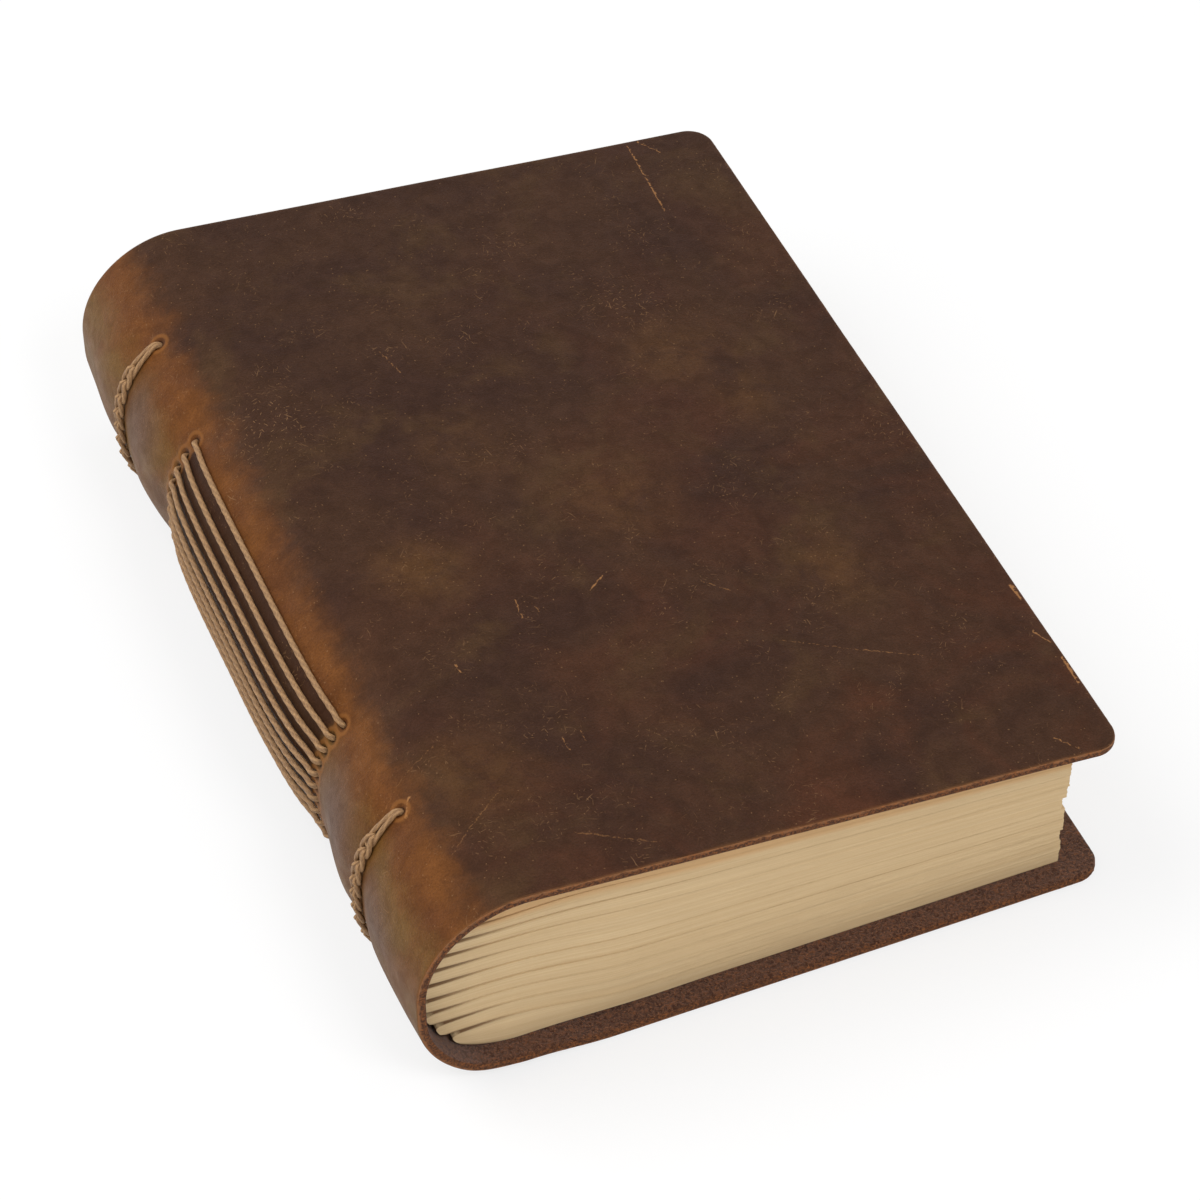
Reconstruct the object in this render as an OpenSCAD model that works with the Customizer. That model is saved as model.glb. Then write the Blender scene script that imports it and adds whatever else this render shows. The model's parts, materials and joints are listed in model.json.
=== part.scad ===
// Leather travel journal: a thick sewn text block in a one-piece leather wrap.
// The spine faces -X, the fore-edge +X, the tail -Y and the head +Y, and the book lies on its back cover.

/* [Cover] */
// Length of the leather, tail to head
cover_l = 210; // [180:1:260]
// Width of the closed book at its front cover, from the spine's outermost face to the fore-edge
front_w = 151; // [120:1:200]
// Width of the closed book at its back cover, from the spine's outermost face to the fore-edge
back_w = 149.6; // [118:0.2:200]
// Thickness of the leather
leather_t = 2; // [1.2:0.1:3]
// Radius of the four rounded corners at the fore-edge
corner_r = 7; // [2:0.5:15]
// Height of the closed book at its fore-edge, leather included
fore_h = 39; // [32:0.5:46]

/* [Spine] */
// Outer radius of the shoulder between the spine and the front cover
top_r = 22.5; // [21:0.5:26]
// Outer radius of the turn between the spine and the back cover
bottom_r = 23.5; // [22:0.5:26]
// Height of the upright stretch between the two rounds
upright_h = 4.6; // [2:0.2:8]

/* [Text block] */
// Number of folded signatures
signatures = 11; // [8:1:13]
// Height of the lowest signature's fold above the surface that the book lies on
first_fold_z = 6.3; // [6:0.1:8]
// Depth of the highest signature's fold below the top of the spine
last_fold_drop = 5.3; // [5:0.1:8]
// Depth of the pages' fore-edge behind the front cover's edge
fore_inset = 9.2; // [4:0.2:14]
// Depth of the pages' tail edge behind the cover's edge, at the fore-edge
tail_inset_fore = 5.5; // [3:0.1:12]
// Depth of the pages' tail edge behind the cover's edge, at the spine
tail_inset_spine = 9.2; // [3:0.1:12]
// Depth of the pages' head edge behind the cover's edge
head_inset = 7; // [3:0.1:12]
// Clearance between the pages and each cover
cover_gap = 0.2; // [0.15:0.05:0.4]
// Clearance between the folds and the inside of the spine
fold_gap = 0.1; // [0.05:0.05:0.1]
// Opening left between two folds where their rounds come closest
fold_slit = 0.3; // [0.2:0.05:0.6]

/* [Sewing] */
// Diameter of the waxed thread
thread_d = 1.1; // [0.8:0.1:1.3]
// Play of the thread in the creases that it lies in
thread_play = 0.15; // [0.1:0.05:0.25]
// Play of the thread in the punched holes
punch_play = 0.3; // [0.3:0.05:0.5]
// Distance from a corner of the thread's route at which the thread starts to turn
thread_bend = 0.5; // [0.45:0.05:0.55]
// Width of the chain of link stitches
chain_w = 2.4; // [2:0.1:3.5]
// Distance of the tail chain from the leather's tail edge
tail_chain_y = 33.5; // [20:0.5:45]
// Distance of the long stitches' tail holes from the leather's tail edge
tail_holes_y = 62; // [50:0.5:85]
// Distance of the long stitches' head holes from the leather's tail edge
head_holes_y = 152; // [100:0.5:155]
// Distance of the head chain from the leather's tail edge
head_chain_y = 179.5; // [160:0.5:190]

/* [Hidden] */
$fn = 48;

thread_r = thread_d / 2;

// Sides of the thread, which is a tube with a ring at each bend of its route
thread_sides = 8;

// Middle of the box that holds the closed book with its thread, which is the part's origin
origin = [(front_w - thread_d) / 2, cover_l / 2, 0];

// Centres of the spine's two rounds, as X and Z
bottom_c = [bottom_r, bottom_r];
top_c = [top_r, bottom_r + upright_h];

// The front cover runs straight down from the shoulder to its edge, at front_w and fore_h
cover_run = front_w - top_c[0];
cover_rise = fore_h - top_c[1];
slope = asin(top_r / norm([cover_run, cover_rise])) - atan2(cover_rise, cover_run);
front_plate_w = sqrt(pow(cover_run, 2) + pow(cover_rise, 2) - pow(top_r, 2));
front_hinge = top_c + top_r * [sin(slope), cos(slope)];
back_hinge = [bottom_c[0], 0];

// Each signature is folded about a crease, and its round is as high as the pitch allows
last_fold_z = top_c[1] + top_r - last_fold_drop;
fold_pitch = (last_fold_z - first_fold_z) / (signatures - 1);
fold_r = (fold_pitch - fold_slit) / 2;
last = signatures - 1;

// Height of signature i's crease
function fold_z(i) = first_fold_z + i * fold_pitch;

// X at the height z of a line that follows the spine at the depth d behind its outer face
function spine_x(z, d) =
    z > top_c[1] ? top_c[0] - sqrt(pow(top_r - d, 2) - pow(z - top_c[1], 2)) :
    z < bottom_c[1] ? bottom_c[0] - sqrt(pow(bottom_r - d, 2) - pow(z - bottom_c[1], 2)) :
    d;

// Height at x of the plane that lies the depth d under the front cover's outer face
function cover_z(x, d) = top_c[1] + (top_r - d) / cos(slope) - (x - top_c[0]) * tan(slope);

// X of signature i's crease, of the thread that lies in it and of the thread over the leather
function crease_x(i) = spine_x(fold_z(i), leather_t + fold_gap + fold_r);
function inner_x(i) = crease_x(i) + thread_r;
function outer_x(i) = spine_x(fold_z(i), -thread_r);

// Direction from one point of a route to the next, and the level direction square to it
function heading(a, b) = (b - a) / norm(b - a);
function side_of(a, b) = let (u = heading(a, b)) [-u[1], u[0]];

// A route with its corners cut off at the distance bend
function cut_corners(points, bend) = [
    points[0],
    for (k = [1 : len(points) - 2]) each [
        points[k] + bend * heading(points[k], points[k - 1]),
        points[k] + bend * heading(points[k], points[k + 1])
    ],
    points[len(points) - 1]
];

// Level direction across a tube at point k of its route, longer where the route bends there
function ring_side(points, k) =
    let (
        end = len(points) - 1,
        before = side_of(points[max(k - 1, 0)], points[max(k, 1)]),
        after = side_of(points[min(k, end - 1)], points[min(k + 1, end)])
    )
    (before + after) / (1 + before * after);

// Moves a finished piece into the part's own frame
module in_frame() {
    translate(-origin) children();
}

// A section drawn in X and Z, from one distance from the tail to another
module along_book(from, to) {
    translate([0, to, 0]) rotate([90, 0, 0]) linear_extrude(to - from) children();
}

// The spine's two rounds and the stretch between them, at the depth d behind its outer face
module spine_section(d) {
    translate(top_c) circle(top_r - d);
    translate(bottom_c) circle(bottom_r - d);
    translate([d, bottom_c[1]]) square([top_c[0] - d, upright_h]);
}

// One round of the spine: children() is the section, with its x measured outwards from radius r
module spine_round(centre, r, from, to) {
    translate([centre[0], 0, centre[1]])
        mirror([0, 1, 0])
            rotate([90, 0, 0])
                rotate([0, 0, from])
                    rotate_extrude(angle = to - from)
                        translate([r, 0]) children();
}

// A strip that follows the outer face of the spine between two angles
module along_spine(top_angle, bottom_angle) {
    spine_round(top_c, top_r, top_angle, 180) children();
    translate([0, 0, bottom_c[1]]) linear_extrude(upright_h) mirror([1, 0]) children();
    spine_round(bottom_c, bottom_r, 180, bottom_angle) children();
}

// A flat cover of the width w from its hinge
module cover_plate(w) {
    linear_extrude(leather_t) {
        square([w - corner_r, cover_l]);
        translate([0, corner_r]) square([w, cover_l - 2 * corner_r]);
        for (y = [corner_r, cover_l - corner_r])
            translate([w - corner_r, y]) circle(corner_r);
    }
}

// A straight punched way at each sewing station of each signature, from outside to the crease
module punched_holes() {
    for (i = [0 : last], y = [tail_chain_y, tail_holes_y, head_holes_y, head_chain_y])
        translate([outer_x(i) - thread_d, y, fold_z(i)])
            rotate([0, 90, 0])
                cylinder(r = thread_r + punch_play, h = inner_x(i) - outer_x(i) + thread_d);
}

// The creases that the thread lies in, between each chain and the long stitches
module thread_creases() {
    for (i = [0 : last], ends = [[tail_chain_y, tail_holes_y], [head_holes_y, head_chain_y]])
        translate([inner_x(i), ends[0] - thread_r, fold_z(i)])
            rotate([-90, 0, 0])
                cylinder(r = thread_r + thread_play, h = ends[1] - ends[0] + thread_d);
}

// Room for the folds and pages inside the leather
module inside_of_cover() {
    translate(top_c) circle(top_r - leather_t - fold_gap);
    translate(bottom_c) circle(bottom_r - leather_t - fold_gap);
    translate(top_c) square([cover_run, top_r]);
    translate([bottom_c[0], 0]) square([front_w - bottom_c[0], top_c[1]]);
}

// The pages from the creases to beyond their fore-edge, and the round of each fold
module block_section() {
    intersection() {
        inside_of_cover();
        polygon([
            [crease_x(0), leather_t + cover_gap],
            for (i = [0 : last]) [crease_x(i), fold_z(i)],
            [crease_x(last), cover_z(crease_x(last), leather_t + cover_gap)],
            [front_w, cover_z(front_w, leather_t + cover_gap)],
            [front_w, leather_t + cover_gap]
        ]);
    }
    for (i = [0 : last]) translate([crease_x(i), fold_z(i)]) circle(fold_r);
}

// The trimmed outline of the pages, seen from above
module block_plan() {
    fore_x = front_w - fore_inset;
    head_y = cover_l - head_inset;
    polygon([[0, tail_inset_spine], [fore_x, tail_inset_fore], [fore_x, head_y], [0, head_y]]);
}

// A thread along a route of points in X and Y, at the height 0
module thread_tube(points) {
    end = len(points) - 1;
    n = thread_sides;
    polyhedron(
        points = [
            for (k = [0 : end], s = [0 : n - 1])
                let (across = thread_r * cos(360 * s / n) * ring_side(points, k))
                [points[k][0] + across[0], points[k][1] + across[1], thread_r * sin(360 * s / n)]
        ],
        faces = [
            [for (s = [0 : n - 1]) s],
            for (k = [0 : end - 1], s = [0 : n - 1])
                let (next = (s + 1) % n)
                [k * n + s, (k + 1) * n + s, (k + 1) * n + next, k * n + next],
            [for (s = [n - 1 : -1 : 0]) end * n + s]
        ]
    );
}

// Signature i's sewing: from the tail chain through its crease, over the leather, and back to the head chain
module signature_sewing(i) {
    translate([0, 0, fold_z(i)])
        thread_tube(cut_corners([
            [outer_x(i), tail_chain_y],
            [inner_x(i), tail_chain_y],
            [inner_x(i), tail_holes_y],
            [outer_x(i), tail_holes_y],
            [outer_x(i), head_holes_y],
            [inner_x(i), head_holes_y],
            [inner_x(i), head_chain_y],
            [outer_x(i), head_chain_y]
        ], thread_bend));
}

// The chain of link stitches that joins the signatures at the distance y from the tail
module link_chain(y) {
    along_book(y - chain_w / 2, y + chain_w / 2) difference() {
        intersection() {
            spine_section(-thread_d);
            translate([-thread_d, first_fold_z - thread_d])
                square([top_c[0], last_fold_z - first_fold_z + 2 * thread_d]);
        }
        spine_section(0);
    }
}

module back_cover() {
    color("#5c3a22") in_frame()
        translate([back_hinge[0], 0, 0]) cover_plate(back_w - back_hinge[0]);
}

module spine_leather() {
    color("#8a5a30") in_frame() difference() {
        along_spine(90 - slope, 270) translate([-leather_t, 0]) square([leather_t, cover_l]);
        punched_holes();
    }
}

module front_cover() {
    color("#4f3527") in_frame()
        translate([front_hinge[0], 0, front_hinge[1]])
            rotate([0, slope, 0])
                translate([0, 0, -leather_t]) cover_plate(front_plate_w);
}

module text_block() {
    color("#d2b688") in_frame() difference() {
        intersection() {
            along_book(0, cover_l) block_section();
            linear_extrude(top_c[1] + top_r) block_plan();
        }
        punched_holes();
        thread_creases();
    }
}

module sewing_thread() {
    color("#c09a6a") in_frame() {
        for (i = [0 : last]) signature_sewing(i);
        link_chain(tail_chain_y);
        link_chain(head_chain_y);
    }
}

back_cover();
spine_leather();
front_cover();
text_block();
sewing_thread();
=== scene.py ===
import json
import math

import bmesh
import bpy
from mathutils import Matrix, Vector, noise
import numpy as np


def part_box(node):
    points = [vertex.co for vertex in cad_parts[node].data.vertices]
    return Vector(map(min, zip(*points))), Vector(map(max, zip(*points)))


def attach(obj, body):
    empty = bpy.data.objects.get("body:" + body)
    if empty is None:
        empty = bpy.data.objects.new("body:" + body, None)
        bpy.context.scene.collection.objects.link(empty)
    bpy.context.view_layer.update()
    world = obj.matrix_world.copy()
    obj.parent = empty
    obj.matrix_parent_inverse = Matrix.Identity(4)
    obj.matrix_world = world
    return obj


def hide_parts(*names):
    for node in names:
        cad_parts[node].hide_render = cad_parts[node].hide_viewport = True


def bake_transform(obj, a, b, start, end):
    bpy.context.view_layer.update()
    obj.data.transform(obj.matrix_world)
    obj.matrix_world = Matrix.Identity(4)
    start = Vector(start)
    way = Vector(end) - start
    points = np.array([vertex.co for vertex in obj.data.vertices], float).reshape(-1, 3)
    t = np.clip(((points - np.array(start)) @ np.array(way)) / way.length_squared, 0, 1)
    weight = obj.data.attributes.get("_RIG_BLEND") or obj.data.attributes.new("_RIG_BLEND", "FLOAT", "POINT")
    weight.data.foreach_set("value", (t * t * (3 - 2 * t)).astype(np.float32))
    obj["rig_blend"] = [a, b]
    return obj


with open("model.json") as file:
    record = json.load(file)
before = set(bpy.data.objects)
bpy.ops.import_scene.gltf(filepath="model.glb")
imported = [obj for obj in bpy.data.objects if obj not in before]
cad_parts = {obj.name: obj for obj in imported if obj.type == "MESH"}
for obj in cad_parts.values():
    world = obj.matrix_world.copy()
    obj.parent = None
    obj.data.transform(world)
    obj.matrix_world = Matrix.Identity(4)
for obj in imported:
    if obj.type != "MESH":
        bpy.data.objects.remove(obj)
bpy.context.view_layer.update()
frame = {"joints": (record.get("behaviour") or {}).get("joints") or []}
scene = bpy.context.scene
mm = 0.001

# Places are millimetres from the spine's outermost face, the tail edge and the table
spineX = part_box("spine_leather")[0].x
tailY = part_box("front_cover")[0].y
hinges = {joint["name"]: joint["pos_m"] for joint in frame["joints"]}


def at(x, y, z):
    return Vector((spineX + x * mm, tailY + y * mm, z * mm))


def easeIn(value, start, end):
    share = min(max((value - start) / (end - start), 0.0), 1.0)
    return share * share * (3 - 2 * share)


def waver(x, y, z=0.0):
    return noise.noise(Vector((x, y, z)))


# The closed book; the height at the fore-edge is the CAD model's, the corners are the photograph's
book = {
    "length": (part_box("front_cover")[1].y - tailY) / mm,
    "frontWidth": (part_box("front_cover")[1].x - spineX) / mm,
    "backWidth": (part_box("back_cover")[1].x - spineX) / mm,
    "leather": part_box("back_cover")[1].z / mm,
    "frontHinge": ((hinges["front_cover_hinge"][0] - spineX) / mm, hinges["front_cover_hinge"][2] / mm),
    "backHinge": (hinges["back_cover_hinge"][0] - spineX) / mm,
    "foreHeight": 39.0,
    "corner": 5.6,
}
sewing = {
    "signatures": 11,
    "firstFold": 6.3,
    "foldPitch": 4.67,
    "pitchLoss": 0.085,    # the folds lie closer towards the top
    "chainPast": 3.4,      # how far the chains' end holes lie past the long stitches
    "foldRound": 1.8,
    "foldDepth": 3.9,      # from the spine's outer face to a crease
    "threadRound": 0.64,
    "tailChain": 33.5,
    "tailHoles": 62.0,
    "headHoles": 150.6,
    "headChain": 179.5,
}

# The section runs from the front cover's fore-edge over the spine to the back cover's fore-edge
hingeX, hingeZ = book["frontHinge"]
slope = math.atan2(hingeZ - book["foreHeight"], book["frontWidth"] - hingeX)
shoulderRound = hingeX / (1 + math.sin(slope))
turnRound = book["backHinge"]
shoulderZ = hingeZ - shoulderRound * math.cos(slope)
frontFlat = math.hypot(book["frontWidth"] - hingeX, hingeZ - book["foreHeight"])
spineTop = frontFlat + shoulderRound * (math.pi / 2 + slope)
spineFoot = spineTop + shoulderZ - turnRound
backFlat = spineFoot + turnRound * math.pi / 2
wrapLength = backFlat + book["backWidth"] - turnRound
seam = spineFoot + turnRound * 0.95      # where the two leather pieces meet, low on the spine


def sectionAt(s):
    # the outer face's x and z at a run s round the section, and its outward direction
    if s < frontFlat:
        run = frontFlat - s
        return (hingeX + run * math.cos(slope), hingeZ - run * math.sin(slope),
                math.sin(slope), math.cos(slope))
    if s < spineTop:
        turned = math.pi / 2 - slope + (s - frontFlat) / shoulderRound
        return (shoulderRound * (1 + math.cos(turned)), shoulderZ + shoulderRound * math.sin(turned),
                math.cos(turned), math.sin(turned))
    if s < spineFoot:
        return 0.0, shoulderZ - (s - spineTop), -1.0, 0.0
    if s < backFlat:
        turned = math.pi + (s - spineFoot) / turnRound
        return (turnRound * (1 + math.cos(turned)), turnRound * (1 + math.sin(turned)),
                math.cos(turned), math.sin(turned))
    return turnRound + s - backFlat, 0.0, 0.0, -1.0


def sectionWhere(z):
    # how far round the section the spine is at the height z
    if z > shoulderZ:
        return spineTop - shoulderRound * math.asin(min((z - shoulderZ) / shoulderRound, 1.0))
    if z > turnRound:
        return spineTop + shoulderZ - z
    return spineFoot + turnRound * math.asin(min((turnRound - z) / turnRound, 1.0))


# How far the spine stands out of its even section, from the tail to the head
spineSwell = [(0, 0.0), (10, 0.5), (24, 0.5), (33.5, -0.7), (43, 0.3), (62, -2.1), (72, -0.4), (85, 0.5),
              (107, 0.6), (130, 0.5), (142, -0.1), (150.6, -1.2), (160, 0.4), (169, 1.0), (179.5, 0.3),
              (190, 1.1), (203, 0.2), (210, -0.3)]
wrapForm = {
    "footLift": 1.3,       # the leather leaves the table beside the lower hinge
    "unevenness": 0.22,
    "waveLength": 38.0,
    "holeDepth": 0.75,
    "holeWidth": 0.95,
    "holeRim": 0.16,
    "holeReach": 4.0,
}


def through(points, x):
    # a smooth line through given points
    last = len(points) - 2
    k = max(i for i in range(last + 1) if i == 0 or points[i][0] <= x)
    before, here, there, after = (points[min(max(k + j, 0), last + 1)] for j in (-1, 0, 1, 2))
    span = there[0] - here[0]
    t = min(max((x - here[0]) / span, 0.0), 1.0)
    leave = (there[1] - before[1]) / (there[0] - before[0]) * span
    arrive = (after[1] - here[1]) / (after[0] - here[0]) * span
    return ((2 * t ** 3 - 3 * t ** 2 + 1) * here[1] + (t ** 3 - 2 * t ** 2 + t) * leave
            + (3 * t ** 2 - 2 * t ** 3) * there[1] + (t ** 3 - t ** 2) * arrive)


swellTable = [through(spineSwell, 0.5 * k) for k in range(int(2 * book["length"]) + 1)]
foldHeights = [sewing["firstFold"] + i * sewing["foldPitch"] - i * i * sewing["pitchLoss"]
               for i in range(sewing["signatures"])]
holeRuns = [sectionWhere(z) for z in foldHeights]
chainRuns = [holeRuns[-1] - sewing["chainPast"], *holeRuns[-2::-1], holeRuns[0] + sewing["chainPast"]]
chainRows = [sewing["tailChain"], sewing["headChain"]]
stitchRows = [sewing["tailHoles"], sewing["headHoles"]]
holeRows = [(row, chainRuns[:1]) for row in chainRows] + [(row, holeRuns) for row in stitchRows]


def swellAt(y):
    place = min(max(2 * y, 0.0), len(swellTable) - 1.001)
    k = int(place)
    return swellTable[k] + (place - k) * (swellTable[k + 1] - swellTable[k])


def standOut(s, y):
    # outward shift of the leather from the even section
    shoulderArc, footArc = spineTop - frontFlat, backFlat - spineFoot
    share = easeIn(s, frontFlat + 0.04 * shoulderArc, frontFlat + 0.6 * shoulderArc)
    share *= 1 - easeIn(s, spineFoot + 3, spineFoot + 0.6 * footArc)
    out = share * swellAt(y)
    lift = easeIn(s, backFlat - 15, backFlat - 3) * (1 - easeIn(s, backFlat, backFlat + 18))
    out -= wrapForm["footLift"] * lift
    if s < seam:
        flat = 1 - 0.6 * easeIn(s, frontFlat - 8, frontFlat + 8)
        wave = waver(s / wrapForm["waveLength"], y / wrapForm["waveLength"], 3.1)
        out += wrapForm["unevenness"] * flat * wave * easeIn(seam - s, 0, 6)
    return out


def holeDip(s, y):
    # how deep the leather is pressed in at the holes, less the raised ring about each
    dip = 0.0
    for row, runs in holeRows:
        if abs(y - row) > wrapForm["holeReach"]:
            continue
        for run in runs:
            away = math.hypot(s - run, y - row) / wrapForm["holeWidth"]
            if away < 4:
                dip += wrapForm["holeDepth"] * math.exp(-away ** 2)
                dip -= wrapForm["holeRim"] * math.exp(-(away - 2.0) ** 2 / 0.5)
    return dip


def onWrap(s, y, depth):
    x, z, outX, outZ = sectionAt(s)
    out = standOut(s, y) - depth
    if depth < 1:
        out -= holeDip(s, y)
    return at(x + outX * out, y, z + outZ * out)


print("section ready:", round(wrapLength, 1), "mm of leather round the book")


# Node helpers
def tone(red, green, blue):
    # a colour as the eye sees it, 0 to 255, as the shader wants it
    parts = (value / 255 for value in (red, green, blue))
    return tuple(v / 12.92 if v <= 0.04045 else ((v + 0.055) / 1.055) ** 2.4 for v in parts) + (1.0,)


def feed(tree, made, inputs):
    for name, value in inputs.items():
        if isinstance(value, bpy.types.NodeSocket):
            tree.links.new(value, made.inputs[name])
        else:
            made.inputs[name].default_value = value
    return made


def wire(tree, kind, inputs=None, **settings):
    made = tree.nodes.new("ShaderNode" + kind)
    for name, value in settings.items():
        setattr(made, name, value)
    return feed(tree, made, inputs or {})


def math2(tree, operation, first, second=0.0, third=0.0, clamp=False):
    inputs = {0: first, 1: second, 2: third}
    return wire(tree, "Math", inputs, operation=operation, use_clamp=clamp).outputs[0]


def part(tree, mask, share):
    # a mask held down to a share, or to where another mask is
    return math2(tree, "MULTIPLY", mask, share)


def mixColour(tree, factor, first, second, blend="MIX"):
    inputs = {0: factor, 6: first, 7: second}
    return wire(tree, "Mix", inputs, data_type="RGBA", blend_type=blend).outputs[2]


def ramp(tree, value, low, high, toLow=0.0, toHigh=1.0):
    inputs = {"Value": value, "From Min": low, "From Max": high, "To Min": toLow, "To Max": toHigh}
    return wire(tree, "MapRange", inputs, interpolation_type="SMOOTHSTEP").outputs[0]


def newGroup(name, ins, outs):
    tree = bpy.data.node_groups.new(name, "ShaderNodeTree")
    for socketName, socketType, value in ins:
        socket = tree.interface.new_socket(socketName, in_out="INPUT", socket_type="NodeSocket" + socketType)
        if value is not None:
            socket.default_value = value
    for socketName, socketType in outs:
        tree.interface.new_socket(socketName, in_out="OUTPUT", socket_type="NodeSocket" + socketType)
    return tree, tree.nodes.new("NodeGroupInput").outputs, tree.nodes.new("NodeGroupOutput").inputs


def useGroup(tree, name, inputs):
    # the first output of a placed node group
    made = tree.nodes.new("ShaderNodeGroup")
    made.node_tree = bpy.data.node_groups[name]
    return feed(tree, made, inputs).outputs[0]


# Soft patches: where a slow noise lies between Low and High
tree, given, result = newGroup(
    "cloudPatches",
    [("Vector", "Vector", None), ("Scale", "Float", 1.0), ("Detail", "Float", 4.0),
     ("Roughness", "Float", 0.6), ("Distortion", "Float", 0.3),
     ("Low", "Float", 0.45), ("High", "Float", 0.6)],
    [("Mask", "Float")])
noiseSockets = ("Vector", "Scale", "Detail", "Roughness", "Distortion")
cloud = wire(tree, "TexNoise", {name: given[name] for name in noiseSockets})
tree.links.new(ramp(tree, cloud.outputs[0], given["Low"], given["High"]), result["Mask"])

# Streaks: noise drawn out along one direction
tree, given, result = newGroup(
    "fibreStreaks",
    [("Vector", "Vector", None), ("Stretch", "Vector", (1.0, 1.0, 1.0)), ("Detail", "Float", 3.0),
     ("Low", "Float", 0.4), ("High", "Float", 0.65)],
    [("Mask", "Float")])
stretched = wire(tree, "VectorMath", {0: given["Vector"], 1: given["Stretch"]}, operation="MULTIPLY")
streak = wire(tree, "TexNoise", {"Vector": stretched.outputs[0], "Scale": 1.0, "Detail": given["Detail"],
                                 "Roughness": 0.62, "Distortion": 0.15})
tree.links.new(ramp(tree, streak.outputs[0], given["Low"], given["High"]), result["Mask"])

# Hair marks: short scratches, one in some of the cells, each turned its own way
tree, given, result = newGroup(
    "hairMarks",
    [("Vector", "Vector", None), ("Scale", "Float", 1.0), ("Length", "Float", 0.3),
     ("Width", "Float", 0.012), ("Share", "Float", 0.4)],
    [("Mask", "Float")])
bent = wire(tree, "TexNoise", {"Vector": given["Vector"], "Scale": 2.5, "Detail": 1.0})
bend = wire(tree, "VectorMath", {0: bent.outputs["Color"], 1: (0.12, 0.12, 0.0)}, operation="MULTIPLY")
place = wire(tree, "VectorMath", {0: given["Vector"], 1: bend.outputs[0]}, operation="ADD").outputs[0]
cell = wire(tree, "TexVoronoi", {"Vector": place, "Scale": given["Scale"]}, voronoi_dimensions="2D")
away = wire(tree, "VectorMath", {0: place, 1: cell.outputs["Position"]}, operation="SUBTRACT")
dice = wire(tree, "SeparateColor", {0: cell.outputs["Color"]}).outputs
turned = wire(tree, "VectorRotate", {"Vector": away.outputs[0], "Axis": (0, 0, 1),
                                     "Angle": part(tree, dice[0], 2 * math.pi)})
local = wire(tree, "SeparateXYZ", {0: turned.outputs[0]}).outputs
half = part(tree, given["Length"], math2(tree, "MULTIPLY_ADD", dice[2], 0.4, 0.1))
inLength = ramp(tree, math2(tree, "DIVIDE", math2(tree, "ABSOLUTE", local[0]), half), 1.0, 0.4)
inWidth = ramp(tree, math2(tree, "DIVIDE", math2(tree, "ABSOLUTE", local[1]), given["Width"]), 1.0, 0.2)
chosen = math2(tree, "LESS_THAN", dice[1], given["Share"])
mark = part(tree, part(tree, inLength, inWidth), chosen)
tree.links.new(mark, result["Mask"])

# One scratch from Start to End, ragged along its length
tree, given, result = newGroup(
    "oneScratch",
    [("Vector", "Vector", None), ("Start", "Vector", None), ("End", "Vector", None),
     ("Width", "Float", 0.03), ("Strength", "Float", 1.0)],
    [("Mask", "Float")])
ragged = wire(tree, "TexNoise", {"Vector": given["Vector"], "Scale": 9.0, "Detail": 3.0})
shift = wire(tree, "VectorMath", {0: ragged.outputs["Color"], 1: (0.5, 0.5, 0.5)}, operation="SUBTRACT")
shift = wire(tree, "VectorMath", {0: shift.outputs[0], "Scale": 0.12}, operation="SCALE")
place = wire(tree, "VectorMath", {0: given["Vector"], 1: shift.outputs[0]}, operation="ADD").outputs[0]
fromStart = wire(tree, "VectorMath", {0: place, 1: given["Start"]}, operation="SUBTRACT").outputs[0]
whole = wire(tree, "VectorMath", {0: given["End"], 1: given["Start"]}, operation="SUBTRACT").outputs[0]
dots = [wire(tree, "VectorMath", {0: a, 1: whole}, operation="DOT_PRODUCT").outputs["Value"]
        for a in (fromStart, whole)]
share = math2(tree, "DIVIDE", dots[0], dots[1], clamp=True)
nearest = wire(tree, "VectorMath", {0: whole, "Scale": share}, operation="SCALE").outputs[0]
off = wire(tree, "VectorMath", {0: fromStart, 1: nearest}, operation="DISTANCE").outputs["Value"]
thin = part(tree, given["Width"], math2(tree, "MULTIPLY_ADD", ragged.outputs[0], 2.4, -0.5))
inside = ramp(tree, math2(tree, "DIVIDE", off, math2(tree, "MAXIMUM", thin, 0.001)), 1.0, 0.3)
tree.links.new(part(tree, inside, given["Strength"]), result["Mask"])


def attribute(tree, name):
    return wire(tree, "Attribute", attribute_name=name).outputs


def newMaterial(name):
    material = bpy.data.materials.new(name)
    material.use_nodes = True
    tree = material.node_tree
    shader = tree.nodes["Principled BSDF"]
    return material, tree, shader


def clouds(tree, place, scale, low, high, **others):
    # the cloudPatches group at a place, with any of its other sockets
    inputs = {"Vector": place, "Scale": scale, "Low": low, "High": high, **others}
    return useGroup(tree, "cloudPatches", inputs)


def streaks(tree, place, stretch, detail, **others):
    return useGroup(tree, "fibreStreaks", {"Vector": place, "Stretch": stretch, "Detail": detail, **others})


def finish(tree, shader, colour, roughness, height, bumpDistance, bumpStrength, gloss):
    shader.inputs["Specular IOR Level"].default_value = gloss
    tree.links.new(colour, shader.inputs["Base Color"])
    tree.links.new(roughness, shader.inputs["Roughness"])
    bump = wire(tree, "Bump", {"Strength": bumpStrength, "Distance": bumpDistance, "Height": height})
    tree.links.new(bump.outputs[0], shader.inputs["Normal"])


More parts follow.
